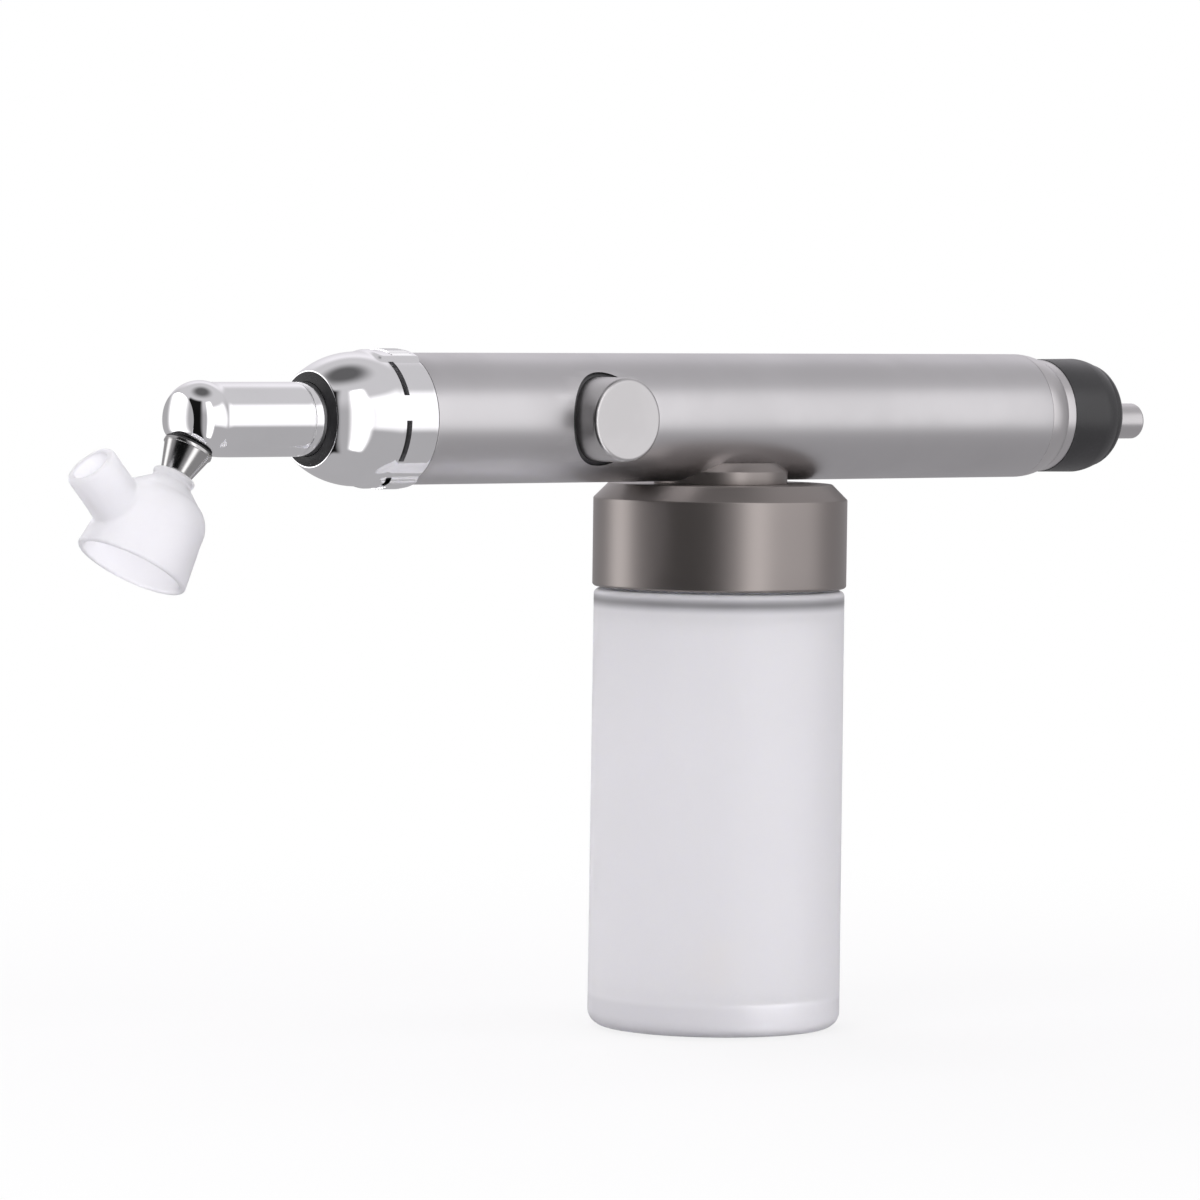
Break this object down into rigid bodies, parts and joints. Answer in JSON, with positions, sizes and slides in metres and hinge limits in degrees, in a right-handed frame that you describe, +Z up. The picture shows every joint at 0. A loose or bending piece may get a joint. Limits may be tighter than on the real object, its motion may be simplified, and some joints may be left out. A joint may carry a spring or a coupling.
{
  "type": "airbrush gun",
  "caption": "Hand-held air spray gun with a round barrel, push button, turning nozzle head, soft splash guard and a screw-on frosted jar.",
  "frame": {"origin": "centre of the jar's foot, on the surface that the gun stands on", "axes": "+X back along the barrel to the air inlet, +Y away from the push button, +Z up through the jar"},
  "size_m": [0.2115, 0.04, 0.1065],
  "materials": {
    "frosted_glass": "frosted",
    "frosted_silicone": "frosted, translucent",
    "black_rubber": "matt",
    "gunmetal": "satin, gunmetal tint",
    "brass": "machined",
    "steel": "drawn",
    "satin_aluminium": "satin",
    "button_aluminium": "satin",
    "bare_aluminium": "machined",
    "satin_steel": "satin",
    "nozzle_steel": "turned",
    "black_plastic": "semi-gloss",
    "bright_chrome": "polished"
  },
  "bodies": {
    "gun": {"barrel": "satin_aluminium", "rear_air_line": "steel", "front_air_line": "steel", "fluid_line": "steel", "line_rings": "black_rubber", "rear_collar": "satin_steel", "rear_cap": "black_plastic", "hose_spigot": "satin_steel", "spigot_ring": "black_rubber", "inlet_filter": "brass", "valve_body": "bare_aluminium", "button_guide": "black_plastic", "stem_ring": "black_rubber", "valve_plug": "brass", "button_spring": "steel", "front_socket": "bare_aluminium", "fluid_spigot": "steel", "neck_bush": "brass", "nose_sleeve": "black_plastic", "nose_cap": "bright_chrome", "nose_seal": "black_rubber", "manifold_block": "brass", "lid": "gunmetal", "saddle": "gunmetal", "feed_bolt": "brass", "feed_washer": "black_rubber", "pickup_tube": "steel", "pickup_strainer": "brass"},
    "button": {"push_button": "button_aluminium", "valve_stem": "steel", "poppet_pad": "black_rubber"},
    "head": {"spray_head": "bright_chrome", "tail_rings": "black_rubber", "head_tube": "steel", "nozzle_seal": "black_rubber", "nozzle": "nozzle_steel", "fluid_tip": "steel"},
    "guard": {"guard_cup": "frosted_silicone"},
    "liner": {"lid_gasket": "black_rubber"},
    "jar": {"jar": "frosted_glass"}
  },
  "joints": [
    {"name": "button_press", "type": "slide", "parent": "gun", "child": "button", "axis": [0, 1, 0], "range_m": [0, 0.0022], "stiffness_N_per_m": 700, "springref_m": -0.003, "deforming": ["button_spring"]},
    {"name": "head_swivel", "type": "hinge", "parent": "gun", "child": "head", "pos_m": [-0.1, 0, 0.096], "axis": [-1, 0, 0], "continuous": true},
    {"name": "guard_swivel", "type": "hinge", "parent": "head", "child": "guard", "pos_m": [-0.1, 0, 0.096], "axis": [-0.5, 0, -0.866], "continuous": true},
    {"name": "jar_turn", "type": "hinge", "parent": "gun", "child": "liner", "pos_m": [0, 0, 0.08], "axis": [0, 0, -1], "range_deg": [0, 540]},
    {"name": "jar_drop", "type": "slide", "parent": "liner", "child": "jar", "axis": [0, 0, -1], "range_m": [0, 0.00602]}
  ],
  "couplings": [
    {"joint": "jar_drop", "follows": "jar_turn", "m_per_rad": 0.00063662}
  ]
}
